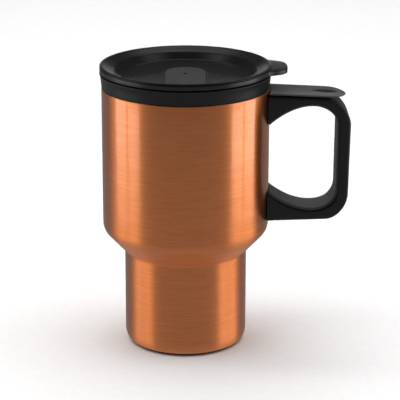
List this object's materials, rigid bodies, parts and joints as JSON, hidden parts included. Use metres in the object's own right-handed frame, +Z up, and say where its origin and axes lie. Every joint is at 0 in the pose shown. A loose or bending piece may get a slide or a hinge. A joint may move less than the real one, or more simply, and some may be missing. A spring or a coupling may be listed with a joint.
{
  "type": "insulated travel mug with handle",
  "caption": "Double-wall travel mug with a stepped base for a cup holder, C-shaped handle with thumb rest, and push-in lid with slide closure.",
  "frame": {"origin": "on the mug's axis, in the plane of the rubber pad that it stands on", "axes": "+Z up along the mug's axis, +X towards the handle, -Y towards the drink slot"},
  "size_m": [0.1354, 0.0928, 0.1564],
  "materials": {
    "copper_steel": "brushed round the axis, copper coloured, clear lacquer",
    "plain_steel": "plain",
    "black_plastic": "satin moulded",
    "grey_plastic": "fine matte texture",
    "silicone": "smooth",
    "pad_rubber": "matte"
  },
  "bodies": {
    "mug": {"outer_shell": "copper_steel", "inner_liner": "black_plastic", "rim_collar": "black_plastic", "collar_seal": "silicone", "base_cap": "black_plastic", "base_pad": "pad_rubber", "upper_bracket": "plain_steel", "lower_bracket": "plain_steel", "upper_screw": "plain_steel", "lower_screw": "plain_steel", "handle_frame": "black_plastic", "handle_insert": "grey_plastic", "thumb_rest": "black_plastic"},
    "lid": {"lid_body": "black_plastic", "lid_gasket": "silicone"},
    "slider": {"drink_slider": "grey_plastic", "slider_keeper": "black_plastic"}
  },
  "joints": [
    {"name": "lid_lift", "type": "slide", "parent": "mug", "child": "lid", "axis": [0, 0, 1], "range_m": [0, 0.04]},
    {"name": "slider_slide", "type": "slide", "parent": "lid", "child": "slider", "axis": [0, 1, 0], "range_m": [0, 0.012]}
  ]
}
